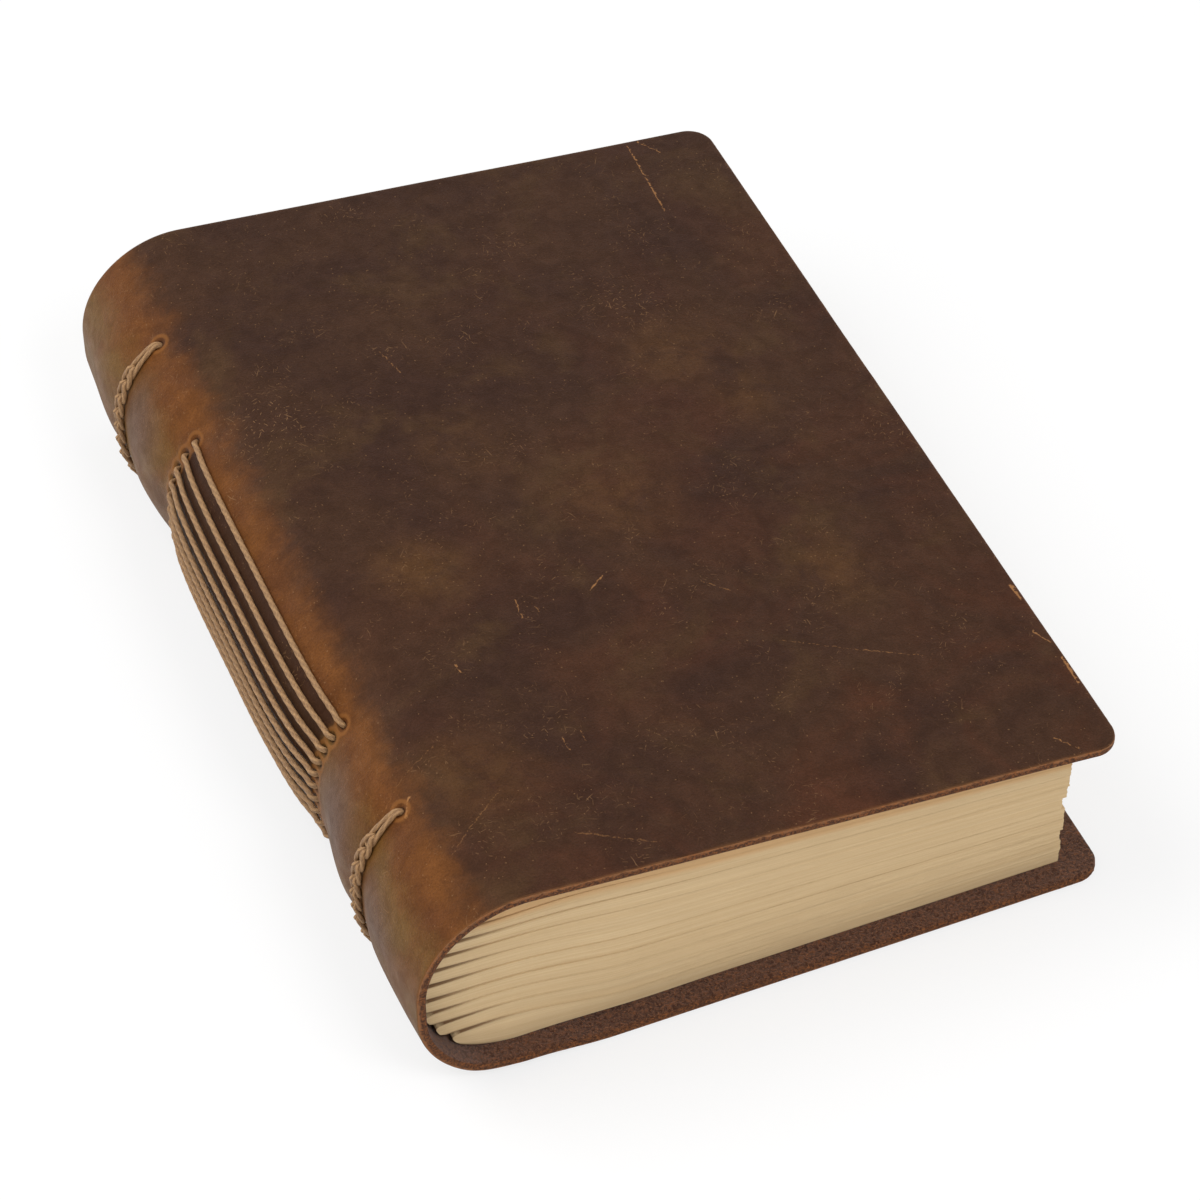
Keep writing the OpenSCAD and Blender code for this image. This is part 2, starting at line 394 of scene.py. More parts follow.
def thickGrid(bm, columns, rows, cuts):
    # the vertices of a new slab, cut into a grid, from -1 to 1 in x and y and from 0 to 1 in z
    count = len(bm.verts)
    made = bmesh.ops.create_grid(bm, x_segments=columns, y_segments=rows, size=1.0)
    faces = list(dict.fromkeys(face for vert in made["verts"] for face in vert.link_faces))
    slab = bmesh.ops.extrude_face_region(bm, geom=faces, use_keep_orig=True)["geom"]
    for element in slab:
        if isinstance(element, bmesh.types.BMVert):
            element.co.z = 1.0
    bm.verts.index_update()
    upright = [edge for edge in bm.edges if edge.verts[0].index >= count
               and abs(edge.verts[0].co.z - edge.verts[1].co.z) > 0.5]
    bmesh.ops.subdivide_edges(bm, edges=upright, cuts=cuts, use_grid_fill=True)
    bm.verts.ensure_lookup_table()
    return bm.verts[count:]


def addPiece(name, bm, materials, sharpFrom=None):
    # the finished mesh as an object; edges steeper than sharpFrom degrees stay sharp
    bmesh.ops.recalc_face_normals(bm, faces=bm.faces[:])
    mesh = bpy.data.meshes.new(name)
    bm.to_mesh(mesh)
    bm.free()
    for material in materials:
        mesh.materials.append(material)
    if sharpFrom:
        mesh.set_sharp_from_angle(angle=math.radians(sharpFrom))
    piece = bpy.data.objects.new(name, mesh)
    scene.collection.objects.link(piece)
    print(name, len(mesh.polygons), "faces")
    return piece


# Leather places are centimetres round the section, then from tail to head
leatherFinish = {
    "dark": tone(57, 37, 26),
    "deep": tone(49, 31, 24),
    "reddish": tone(70, 39, 25),
    "olive": tone(66, 46, 29),
    "shoulder": tone(98, 58, 25),
    "gold": tone(101, 73, 34),
    "paintedSheenGrey": tone(87, 63, 48),
    "worn": tone(85, 57, 31),
    "pale": tone(136, 102, 70),
    "scratch": tone(150, 106, 66),
    # painted shade under the threads, also the dark of the grain's tiny pits
    "pitsAndStitchShade": tone(42, 25, 19),
    "rubbedRim": tone(132, 90, 58),
    "holeRing": tone(134, 86, 42),
    "holeShade": tone(38, 22, 15),
    "sheen": tone(172, 124, 84),
    "shadeAtTail": (6.15, 6.6),      # where the painted shade under the stitches starts and is full
    "shadeAtHead": (15.25, 14.8),
}
# Start, end, width and strength of the scratches that show by themselves
leatherScratches = [
    ((1.97, 20.87), (2.10, 18.34), 0.032, 0.7),
    ((1.70, 20.90), (1.34, 20.40), 0.03, 0.7),
    ((0.14, 4.88), (0.10, 4.40), 0.06, 0.8),
    ((0.31, 3.48), (0.11, 3.10), 0.04, 0.7),
    ((0.09, 2.61), (0.11, 1.86), 0.05, 0.8),
    ((1.31, 0.62), (0.96, 0.21), 0.03, 0.7),
    ((8.46, 7.43), (8.04, 7.76), 0.032, 0.75),
    ((9.92, 15.72), (9.74, 14.97), 0.022, 0.6),
    ((13.78, 1.60), (12.29, 2.77), 0.022, 0.3),
    ((5.36, 4.88), (3.93, 4.11), 0.018, 0.35),
    ((3.93, 4.11), (2.73, 3.56), 0.022, 0.5),
    ((11.33, 1.27), (9.88, 0.51), 0.03, 0.3),
    ((10.03, 7.63), (10.09, 7.10), 0.022, 0.6),
    ((9.73, 7.44), (9.68, 7.15), 0.02, 0.5),
    ((10.61, 3.70), (10.58, 3.34), 0.022, 0.6),
    ((10.19, 3.79), (10.18, 3.50), 0.02, 0.5),
    ((11.86, 6.26), (11.84, 6.04), 0.03, 0.7),
    ((13.98, 3.47), (14.22, 3.13), 0.05, 0.9),
    ((14.67, 3.56), (12.90, 4.40), 0.02, 0.25),
    ((6.20, 7.01), (5.73, 6.54), 0.02, 0.4),
]
# Centre, reach and strength of places with many pale marks
rubbedPlaces = [((12.9, 14.3), 1.7, 0.85), ((4.2, 15.6), 1.5, 0.7)]
# Centre, reach and strength of the greyish patches of painted sheen on the spine
spineSheenPatches = [
    ((15.6, 16.9), 1.5, 0.9), ((15.9, 4.8), 1.7, 1.0), ((16.2, 2.2), 1.3, 0.8), ((16.8, 15.6), 1.0, 0.6),
]
# Centre, reach and strength of the lighter, worn patches on the front cover
leatherPatches = [
    ((3.69, 13.83), 1.9, 0.45), ((2.88, 12.18), 1.3, 0.4), ((11.54, 9.06), 1.5, 0.65),
    ((6.82, 9.76), 2.0, 0.4), ((3.51, 6.45), 1.5, 0.5), ((12.6, 3.2), 1.9, 0.5), ((9.4, 12.4), 1.6, 0.3),
]


def makeLeather():
    material, tree, shader = newMaterial("waxedLeather")
    use = leatherFinish
    place = attribute(tree, "leatherPlace")["Vector"]
    run, along, _ = wire(tree, "SeparateXYZ", {0: place}).outputs

    def patches(scale, low, high, detail=5.0, rough=0.62, distortion=0.4):
        return clouds(tree, place, scale, low, high, Detail=detail, Roughness=rough, Distortion=distortion)

    def overlay(colour, mask, low, high):
        # lightens or darkens about the middle value 0.5
        shade = mixColour(tree, mask, (low, low, low, 1.0), (high, high, high, 1.0))
        return mixColour(tree, 1.0, colour, shade, "SOFT_LIGHT")

    def hairs(scale, length, width, share):
        return useGroup(tree, "hairMarks", {"Vector": place, "Scale": scale, "Length": length,
                                            "Width": width, "Share": share})

    def spots(patchList):
        found = None
        for centre, reach, strength in patchList:
            off = wire(tree, "VectorMath", {0: place, 1: (*centre, 0.0)}, operation="DISTANCE")
            spot = part(tree, ramp(tree, off.outputs["Value"], reach, 0.1 * reach), strength)
            found = spot if found is None else math2(tree, "MAXIMUM", found, spot)
        return found

    # the covers, olive towards the spine and redder towards the fore-edge and the tail
    colour = mixColour(tree, patches(0.33, 0.38, 0.64), use["dark"], use["deep"])
    redder = math2(tree, "MULTIPLY_ADD", math2(tree, "ADD", run, along), -0.035, 0.95, clamp=True)
    colour = mixColour(tree, part(tree, patches(0.27, 0.4, 0.7, distortion=0.8), redder),
                       colour, use["reddish"])
    colour = mixColour(tree, part(tree, patches(0.42, 0.5, 0.7), 0.75), colour, use["olive"])
    broken = patches(1.1, 0.3, 0.65, detail=8.0, rough=0.7)
    worn = part(tree, spots(leatherPatches), broken)
    colour = mixColour(tree, worn, colour, use["worn"])
    # the spine, orange along its shoulder; below it golden, the leather's own tone lightened in part as
    # painted sheen, with greyish patches of painted sheen
    wander = patches(0.9, 0.25, 0.75, detail=9.0, rough=0.7)
    edge = math2(tree, "ADD", run, math2(tree, "MULTIPLY_ADD", wander, 0.5, -0.25))
    shoulder = 0.1 * frontFlat + 1.25
    spine = ramp(tree, edge, shoulder - 0.55, shoulder + 0.45)
    spine = part(tree, spine, ramp(tree, edge, 0.1 * backFlat + 1.6, 0.1 * backFlat + 0.4))
    below = ramp(tree, edge, shoulder + 0.6, shoulder + 1.4)
    spineColour = mixColour(tree, part(tree, patches(0.55, 0.4, 0.66), 0.5), use["shoulder"], use["reddish"])
    amber = part(tree, patches(0.5, 0.4, 0.66, distortion=1.0), 0.7)
    lower = mixColour(tree, amber, use["gold"], use["shoulder"])
    # greyish patches of painted sheen on the lower spine
    lower = mixColour(tree, spots(spineSheenPatches), lower, use["paintedSheenGrey"])
    spineColour = mixColour(tree, part(tree, below, 0.85), spineColour, lower)
    colour = mixColour(tree, spine, colour, spineColour)
    # painted shade on the leather between the long stitches
    first, last = 0.1 * holeRuns[-1], 0.1 * holeRuns[0]
    paintedStitchShade = ramp(tree, run, first - 0.02, first + 0.12)
    paintedStitchShade = part(tree, paintedStitchShade, ramp(tree, run, last, last - 0.1))
    for bounds in (use["shadeAtTail"], use["shadeAtHead"]):
        paintedStitchShade = part(tree, paintedStitchShade, ramp(tree, along, *bounds))
    colour = mixColour(tree, part(tree, paintedStitchShade, 0.88), colour, use["pitsAndStitchShade"])
    # mottling and grain
    mottle = patches(2.0, 0.3, 0.72, detail=9.0, rough=0.7)
    grain = patches(22.0, 0.25, 0.75, detail=4.0)
    colour = overlay(colour, mottle, 0.41, 0.59)
    colour = overlay(colour, grain, 0.4, 0.6)
    # pale hairs and specks, close together in some places and few in others
    where = math2(tree, "MULTIPLY_ADD", patches(0.8, 0.5, 0.7, detail=6.0), 0.6, 0.05)
    where = math2(tree, "MAXIMUM", where, spots(rubbedPlaces))
    fine = math2(tree, "MAXIMUM", hairs(2.1, 0.4, 0.011, 0.5), hairs(6.5, 0.13, 0.0085, 0.7))
    fine = math2(tree, "MAXIMUM", fine, hairs(4.3, 0.2, 0.008, 0.7))
    fine = part(tree, fine, where)
    fine = math2(tree, "MAXIMUM", fine, part(tree, hairs(7.0, 0.05, 0.017, 0.12), 0.5))
    colour = mixColour(tree, fine, colour, use["pale"])
    # tiny dark pits in the grain, in the same colour as the painted stitch shade
    pits = part(tree, hairs(12.0, 0.03, 0.012, 0.5), 0.5)
    colour = mixColour(tree, pits, colour, use["pitsAndStitchShade"])
    deepMark = None
    for start, end, width, strength in leatherScratches:
        line = useGroup(tree, "oneScratch", {"Vector": place, "Start": (*start, 0.0), "End": (*end, 0.0),
                                             "Width": width, "Strength": strength})
        deepMark = line if deepMark is None else math2(tree, "MAXIMUM", deepMark, line)
    colour = mixColour(tree, deepMark, colour, use["scratch"])
    # rubbed rim, the raised rings of the holes, and painted shade in the holes' pits
    rim = attribute(tree, "rim")["Fac"]
    colour = mixColour(tree, part(tree, rim, math2(tree, "MULTIPLY_ADD", broken, 0.5, 0.1)),
                       colour, use["rubbedRim"])
    dip = attribute(tree, "holeDip")["Fac"]
    colour = mixColour(tree, ramp(tree, dip, -0.03, -0.17, 0.0, 0.5), colour, use["holeRing"])
    colour = mixColour(tree, ramp(tree, dip, 0.08, 0.6, 0.0, 0.9), colour, use["holeShade"])
    roughness = math2(tree, "MULTIPLY_ADD", mottle, -0.12, 0.6)
    roughness = math2(tree, "ADD", roughness, part(tree, deepMark, 0.15))
    height = math2(tree, "MULTIPLY_ADD", mottle, 0.5, part(tree, grain, 0.45))
    height = math2(tree, "SUBTRACT", height, part(tree, deepMark, 0.4))
    finish(tree, shader, colour, roughness, height, 0.00025, 0.35, 0.32)
    shader.inputs["Specular Tint"].default_value = use["sheen"]
    return material


suedeFinish = {
    "dark": tone(64, 37, 23),
    "light": tone(122, 74, 42),
    "even": tone(92, 56, 34),
    "fluff": tone(176, 116, 70),
}


def makeSuede():
    material, tree, shader = newMaterial("suedeInside")
    use = suedeFinish
    place = attribute(tree, "leatherPlace")["Vector"]
    nap = clouds(tree, place, 13.0, 0.42, 0.64, Detail=8.0, Roughness=0.75, Distortion=0.6)
    slow = clouds(tree, place, 0.9, 0.35, 0.7)
    fluff = useGroup(tree, "hairMarks", {"Vector": place, "Scale": 12.0, "Length": 0.09,
                                         "Width": 0.008, "Share": 0.7})
    colour = mixColour(tree, nap, use["dark"], use["light"])
    colour = mixColour(tree, part(tree, slow, 0.4), colour, use["even"])
    colour = mixColour(tree, part(tree, fluff, 0.6), colour, use["fluff"])
    roughness = math2(tree, "MULTIPLY_ADD", nap, 0.08, 0.88)
    finish(tree, shader, colour, roughness, nap, 0.0004, 0.6, 0.2)
    shader.inputs["Sheen Weight"].default_value = 0.15
    return material


edgeFinish = {
    "skin": tone(142, 98, 64),
    "flesh": tone(62, 35, 22),
    "fibre": tone(150, 98, 60),
    "grit": tone(158, 96, 50),
}


def makeCutEdge():
    material, tree, shader = newMaterial("cutEdge")
    use = edgeFinish
    place = attribute(tree, "leatherPlace")["Vector"]
    depth = wire(tree, "SeparateXYZ", {0: place}).outputs[2]
    fibres = streaks(tree, place, (16.0, 16.0, 45.0), 5.0)
    coarse = clouds(tree, place, 7.0, 0.35, 0.65, Detail=5.0)
    line = ramp(tree, math2(tree, "ADD", depth, part(tree, coarse, 0.05)), 0.045, 0.1)
    colour = mixColour(tree, line, use["skin"], use["flesh"])
    colour = mixColour(tree, part(tree, fibres, 0.4), colour, use["fibre"])
    grit = clouds(tree, place, 15.0, 0.47, 0.6, Detail=6.0, Roughness=0.8)
    colour = mixColour(tree, part(tree, grit, 0.75), colour, use["grit"])
    roughness = math2(tree, "MULTIPLY_ADD", fibres, 0.1, 0.8)
    finish(tree, shader, colour, roughness, fibres, 0.0004, 0.7, 0.25)
    return material


leather, suede, cutEdge = makeLeather(), makeSuede(), makeCutEdge()
print("leather materials ready")


# Leather
sheet = {
    "rimSteps": [0.0, 0.25, 0.6],
    "rimRound": 0.5,
    "cornerBlock": 11.0,
    "edgeCuts": 3,
    "ragged": 0.07,
    # spans of mesh rows as start, end and step, closer at the holes
    "tailSpans": [(8, 29.5, 1.7), (29.5, 37.5, 0.5), (37.5, 58, 1.5), (58, 66, 0.5)],
    "headSpans": [(148, 156, 0.5), (156, 175.5, 1.5), (175.5, 183.5, 0.5)],
    "endBand": 8.0,        # width of the closer mesh at every edge
    "endStep": 0.8,
    "midStep": 1.7,
}


rimWidth = sheet["rimSteps"][-1]
rimBack = sheet["rimSteps"][-2::-1]
endBand, endStep, midStep = sheet["endBand"], sheet["endStep"], sheet["midStep"]


def stops(spans):
    # evenly stepped places over each span, as start, end and step
    places = sheet["rimSteps"][:-1] if spans[0][0] == rimWidth else []
    for start, end, step in spans:
        count = max(1, round((end - start) / step))
        places += [start + (end - start) * k / count for k in range(count)]
    return places + [spans[-1][1]]


def roundCorner(u, v):
    # carries a point at u and v in from two edges to a corner with a round
    block, radius = sheet["cornerBlock"], book["corner"]
    inset, reach = min(u, v), max(u, v)
    if reach >= block or inset >= radius:
        return u, v
    arc = (radius - inset) * math.pi / 4
    along = (reach - inset) / (block - inset) * (arc + block - radius)
    if along >= arc:
        near, far = inset, radius + along - arc
    else:
        angle = math.pi / 4 * (1 - along / arc)
        near = radius - (radius - inset) * math.cos(angle)
        far = radius - (radius - inset) * math.sin(angle)
    return (near, far) if u <= v else (far, near)


def softRim(inset, depth):
    # rounds the two long arrises of the cut edge
    radius = sheet["rimRound"]
    below = min(depth, book["leather"] - depth)
    if inset >= radius or below >= radius:
        return inset, depth
    off = Vector((inset - radius, below - radius)).normalized() * radius
    newBelow = radius + off.y
    return radius + off.x, newBelow if depth < book["leather"] / 2 else book["leather"] - newBelow


def leatherPiece(name, runs, foreAt):
    # a flat slab of leather with its cut edge, wrapped round the section; foreAt is its fore-edge
    half, headBand = book["length"] / 2, book["length"] - endBand
    tailSpans, headSpans = sheet["tailSpans"], sheet["headSpans"]
    rows = stops([(rimWidth, endBand, endStep), *tailSpans, (tailSpans[-1][1], half, midStep)])
    lateRows = stops([(half, headSpans[0][0], midStep), *headSpans, (headSpans[-1][1], headBand, midStep),
                      (headBand, book["length"] - rimWidth, endStep)])
    rows += lateRows[1:] + [book["length"] - step for step in rimBack]
    bm = bmesh.new()
    columns = len(runs) - 1
    for vert in thickGrid(bm, columns, len(rows) - 1, sheet["edgeCuts"]):
        column = round((vert.co.x + 1) / 2 * columns)
        row = round((vert.co.y + 1) / 2 * (len(rows) - 1))
        vert.co = (runs[column], rows[row], -book["leather"] * vert.co.z)
    placeLayer = bm.verts.layers.float_vector.new("leatherPlace")
    rimLayer = bm.verts.layers.float.new("rim")
    dipLayer = bm.verts.layers.float.new("holeDip")
    edgeSign = 1 if foreAt == 0 else -1
    onRim = {}
    for vert in bm.verts:
        s, y, depth = vert.co.x, vert.co.y, -vert.co.z
        fromFore, fromEnd = abs(s - foreAt), min(y, book["length"] - y)
        inset = min(fromFore, fromEnd)
        onRim[vert] = inset < 0.01
        newInset, newDepth = softRim(inset, depth)
        if onRim[vert]:
            newInset += sheet["ragged"] * (1 + waver(s * 0.9, y * 0.9, depth * 1.5))
        u = newInset if fromFore == inset else fromFore
        v = newInset if fromEnd == inset else fromEnd
        u, v = roundCorner(u, v)
        newS = foreAt + edgeSign * u
        newY = v if y < half else book["length"] - v
        vert[placeLayer] = (newS / 10, newY / 10, newDepth / 10)
        vert[rimLayer] = 1 - easeIn(newInset, 0.1, 0.7)
        vert[dipLayer] = holeDip(newS, newY) / wrapForm["holeDepth"] if depth < 0.01 else 0.0
        vert.co = (newS, newY, newDepth)
    for face in bm.faces:
        if all(onRim[vert] for vert in face.verts):
            face.material_index = 2
        elif all(vert.co.z > book["leather"] / 2 for vert in face.verts):
            face.material_index = 1
        face.smooth = True
    for vert in bm.verts:
        vert.co = onWrap(*vert.co)
    return addPiece(name, bm, (leather, suede, cutEdge), 50)


bendStart, bendEnd, backEnd = frontFlat - 8, backFlat + 14, wrapLength - endBand
frontRuns = stops([(rimWidth, endBand, endStep), (endBand, bendStart, 1.75), (bendStart, seam, 0.6)])
backRuns = stops([(seam, bendEnd, 0.9), (bendEnd, backEnd, 2.2), (backEnd, wrapLength - rimWidth, endStep)])
backRuns += [wrapLength - step for step in rimBack]
frontLeather = leatherPiece("front_leather", frontRuns, 0.0)
backLeather = leatherPiece("back_leather", backRuns, wrapLength)


# Paper
paperForm = {
    "foreX": 141.6,
    "foreSteps": [0.0, 0.1, -0.35, 0.25, 0.3, -0.45, 0.4, 0.75, 0.95, 0.9, 0.7],
    "tailAtSpine": 4.6,    # the lowest signature's tail edge, at the spine
    "tailStep": 0.42,
    "tailAtFore": 5.5,
    "headInset": 7.0,
    "clearance": 0.2,
    "slit": 0.34,
    "leaves": 9,           # steps across a signature's thickness
    "columns": 46,
    "lengths": 40,
    "settled": (15, 46),   # from the folds' own heights to even ones, away from the spine
}
paperFinish = {
    "light": tone(222, 196, 154),
    "warm": tone(208, 176, 130),
    "line": tone(180, 146, 104),
    "pulp": tone(196, 164, 122),
    # painted shade under the cover's overhang
    "top": tone(212, 164, 110),
    # painted shade in the slits between signatures
    "slit": tone(104, 70, 44),
}


def topPage(x, y):
    # height of the leather's inner face over the pages
    inner = shoulderRound - book["leather"] - paperForm["clearance"]
    off = x - shoulderRound
    if x < hingeX:
        turned = math.acos(max(off / inner, -1.0))
        pressed = min(standOut(frontFlat + (turned - math.pi / 2 + slope) * shoulderRound, y), 0.0)
        return shoulderZ + math.sqrt(max((inner + pressed) ** 2 - off ** 2, 0.0))
    pressed = min(standOut(frontFlat - (x - hingeX) / math.cos(slope), y), 0.0)
    return shoulderZ + inner / math.cos(slope) - off * math.tan(slope) + pressed


def bottomPage(x):
    depth = book["leather"] + paperForm["clearance"]
    lift = wrapForm["footLift"] * easeIn(x, 5, 20) * (1 - easeIn(x, turnRound, turnRound + 30))
    if x >= turnRound:
        return depth + lift
    return turnRound + lift - math.sqrt(max((turnRound - depth) ** 2 - (turnRound - x) ** 2, 0.0))


def creaseAt(run):
    # where the fold behind a hole has its crease, clear of the leather above and below it
    x, z, outX, outZ = sectionAt(run)
    x -= outX * sewing["foldDepth"]
    z -= outZ * sewing["foldDepth"]
    nose = x - sewing["foldRound"]
    while not bottomPage(nose) + 0.5 < z < topPage(nose, sewing["tailHoles"]) - 0.5:
        nose += 0.2
    return nose + sewing["foldRound"], z


creases = [creaseAt(run) for run in holeRuns]


def pageLevel(k, x, y):
    # height of the boundary under signature k
    low, high = bottomPage(x), topPage(x, y)
    if k == 0 or k == sewing["signatures"]:
        return high if k else low
    spread = low + (high - low) * k / sewing["signatures"]
    bowed = spread + 0.25 * math.sin(math.pi * k / sewing["signatures"]) * waver(x / 45, k * 0.7, 8.0)
    settled = easeIn(x, *paperForm["settled"])
    folded = (creases[k - 1][1] + creases[k][1]) / 2
    return min(max(folded * (1 - settled) + bowed * settled, low), high)


def makePaper():
    material, tree, shader = newMaterial("creamPaper")
    place = attribute(tree, "pagePlace")["Vector"]
    use = paperFinish
    leaf = wire(tree, "SeparateXYZ", {0: place}).outputs[2]
    cut = attribute(tree, "cutFace")["Fac"]
    lines = part(tree, streaks(tree, place, (0.35, 0.35, 7.0), 5.0, Low=0.35, High=0.7), cut)
    broad = streaks(tree, place, (0.12, 0.12, 0.9), 2.0, Low=0.35, High=0.68)
    pulp = clouds(tree, place, 6.0, 0.35, 0.7, Detail=6.0)
    colour = mixColour(tree, part(tree, broad, 0.5), use["light"], use["warm"])
    colour = mixColour(tree, part(tree, lines, 0.4), colour, use["line"])
    colour = mixColour(tree, part(tree, pulp, 0.18), colour, use["pulp"])
    # painted shade: the top signatures' cut faces darker and warmer, as in the shadow of the cover's
    # overhang
    top = part(tree, ramp(tree, leaf, 76.0, 81.0), cut)
    colour = mixColour(tree, part(tree, top, 0.6), colour, use["top"])
    # painted shade in the slits between signatures near their folds
    slit = attribute(tree, "slit")["Fac"]
    colour = mixColour(tree, part(tree, slit, 0.9), colour, use["slit"])
    roughness = math2(tree, "MULTIPLY_ADD", pulp, 0.06, 0.86)
    height = math2(tree, "MULTIPLY_ADD", lines, 0.8, part(tree, pulp, 0.15))
    finish(tree, shader, colour, roughness, height, 0.00025, 0.5, 0.2)
    return material


def paperBlock():
    form = paperForm
    bm = bmesh.new()
    placeLayer = bm.verts.layers.float_vector.new("pagePlace")
    cutLayer = bm.verts.layers.float.new("cutFace")
    slitShadeLayer = bm.verts.layers.float.new("slit")
    for i, (creaseX, _) in enumerate(creases):
        tailAtSpine = form["tailAtSpine"] + i * form["tailStep"]
        tailTrim, headTrim = 0.16 * waver(i * 3.7, 1.3), 0.16 * waver(i * 2.9, 5.6)
        fore = form["foreX"] + form["foreSteps"][i]
        noseX = creaseX - sewing["foldRound"]
        for vert in thickGrid(bm, form["columns"], form["leaves"], form["lengths"]):
            across, away, length = vert.co.y, (vert.co.x + 1) / 2, vert.co.z
            leaf = (i + (across + 1) / 2) * form["leaves"]
            grain = waver(leaf * 1.7, 4.4)
            tailIn = tailAtSpine + (form["tailAtFore"] - tailAtSpine) * min(1.7 * away, 1.0)
            tail = tailIn + tailTrim + 0.09 * grain
            head = book["length"] - form["headInset"] + headTrim + 0.09 * grain
            y = tail + (head - tail) * length
            pressed = max(-swellAt(y), 0.0)
            nose = creaseX - sewing["foldRound"] * math.sqrt(max(1 - across ** 2, 0.0)) + pressed
            x = nose + (fore + 0.25 * grain - nose) * away ** 1.7
            low, high = pageLevel(i, x, y), pageLevel(i + 1, x, y)
            fromNose = x - noseX
            edge = i + (across > 0)
            reach = 17 + 9 * waver(edge * 5.1, 2.2)
            between = 0.018 + 0.012 * waver(edge * 2.3, 3.1)
            gap = form["slit"] * (1 - easeIn(fromNose, 0, 0.7 * reach)) + between
            z = (low + high) / 2 + across * (high - low - gap) / 2
            vert[placeLayer] = (x / 10, y / 10, leaf)
            vert[cutLayer] = 1.0 if length < 0.001 or length > 0.999 else 0.0
            # painted shade along the slits between signatures, fading away from the folds
            faded = 0.9 + 0.1 * waver(edge * 3.3, 7.7)
            vert[slitShadeLayer] = easeIn(abs(across), 0.75, 1.0) * (1 - faded * easeIn(fromNose, 1, reach))
            vert.co = at(x, y, z)
    for face in bm.faces:
        face.smooth = True
    return addPiece("page_block", bm, [makePaper()], 40)


pages = paperBlock()


# Thread
threadForm = {
    "sides": 12,
    "plies": 3,
    "plyDepth": 0.07,
    "plyTurn": 2.1,        # radians of twist for each millimetre
    "step": 0.5,
    "stitchSteps": 16,
    "linkReach": 1.3,      # half the width of a loop
    "strandRound": 0.56,
}
threadFinish = {
    "dark": tone(150, 113, 74),
    "light": tone(192, 152, 106),
    "slow": tone(146, 105, 66),
    # painted shade in the grooves between the plies
    "groove": tone(84, 55, 34),
}


def makeThread():
    material, tree, shader = newMaterial("waxedThread")
    use = threadFinish
    place = attribute(tree, "threadPlace")["Vector"]
    strands = streaks(tree, place, (3.0, 9.0, 1.0), 4.0)
    slow = clouds(tree, place, 0.5, 0.35, 0.7, Detail=3.0)
    plyShade = attribute(tree, "plyGrooveShade")["Fac"]
    colour = mixColour(tree, strands, use["dark"], use["light"])
    colour = mixColour(tree, part(tree, slow, 0.35), colour, use["slow"])
    # painted shade in the grooves between the plies
    colour = mixColour(tree, part(tree, plyShade, 0.7), colour, use["groove"])
    roughness = math2(tree, "MULTIPLY_ADD", strands, 0.15, 0.5)
    finish(tree, shader, colour, roughness, strands, 0.0001, 0.5, 0.4)
    return material


def resample(points, step):
    # points at even steps along a smooth line through the given ones
    dense = []
    for k in range(len(points) - 1):
        a, b, c, d = (points[min(max(k + j, 0), len(points) - 1)] for j in (-1, 0, 1, 2))
        for t in (j / 12 for j in range(12)):
            dense.append(0.5 * (2 * b + (c - a) * t + (2 * a - 5 * b + 4 * c - d) * t ** 2
                                + (3 * b - a - 3 * c + d) * t ** 3))
    dense.append(points[-1])
    even, gone = [dense[0]], 0.0
    for before, after in zip(dense, dense[1:]):
        gone += (after - before).length
        if gone >= step:
            even.append(after)
            gone = 0.0
    return even


def addTube(bm, path, radius):
    # a grid bent into a twisted thread along the path, in metres
    form = threadForm
    rings, sides = len(path) - 1, form["sides"]
    placeLayer = bm.verts.layers.float_vector["threadPlace"]
    plyShadeLayer = bm.verts.layers.float["plyGrooveShade"]
    made = bmesh.ops.create_grid(bm, x_segments=rings, y_segments=sides, size=1.0)["verts"]
    tangents = [(path[min(k + 1, rings)] - path[max(k - 1, 0)]).normalized() for k in range(rings + 1)]
    side = tangents[0].orthogonal().normalized()
    frames, gone = [], 0.0
    for k, tangent in enumerate(tangents):
        side = (side - tangent * side.dot(tangent)).normalized()
        gone += (path[k] - path[k - 1]).length / mm if k else 0.0
        frames.append((side.copy(), tangent.cross(side), gone))
    for vert in made:
        k, j = round((vert.co.x + 1) / 2 * rings), round((vert.co.y + 1) / 2 * sides)
        angle = 2 * math.pi * j / sides
        first, second, length = frames[k]
        groove = 0.5 - 0.5 * math.cos(form["plies"] * angle + form["plyTurn"] * length)
        reach = radius * mm * (1 - form["plyDepth"] * 2 * groove)
        vert.co = path[k] + reach * (math.cos(angle) * first + math.sin(angle) * second)
        vert[placeLayer] = (length / 2, angle + form["plyTurn"] * length / form["plies"], 0.0)
        # how much painted shade each place in a ply groove gets
        vert[plyShadeLayer] = groove ** 2
    bmesh.ops.remove_doubles(bm, verts=made, dist=0.02 * mm)


def addThread(bm, points, radius):
    addTube(bm, resample(points, threadForm["step"] * mm), radius)


def overSpine(s, y, out):
    x, z, outX, outZ = sectionAt(s)
    away = standOut(s, y) + out
    return at(x + outX * away, y, z + outZ * away)


def longStitch(bm, i):
    s, r = holeRuns[i], sewing["threadRound"]
    tail, head = sewing["tailHoles"], sewing["headHoles"]
    sway = 0.25 * waver(i * 1.9, 7.7)
    points = [overSpine(s, tail - 0.15, -2.4), overSpine(s, tail, -1.0), overSpine(s, tail + 0.35, 0.1),
              overSpine(s, tail + 1.3, r + 0.25)]
    for k in range(threadForm["stitchSteps"] + 1):
        share = k / threadForm["stitchSteps"]
        y = tail + 3 + (head - tail - 6) * share
        bow = math.sin(math.pi * share)
        points.append(overSpine(s + sway * bow, y, r + 0.1 + 0.12 * bow))
    points += [overSpine(s, head - 1.3, r + 0.25), overSpine(s, head - 0.35, 0.1),
               overSpine(s, head, -1.0), overSpine(s, head + 0.15, -2.4)]
    addThread(bm, points, r)


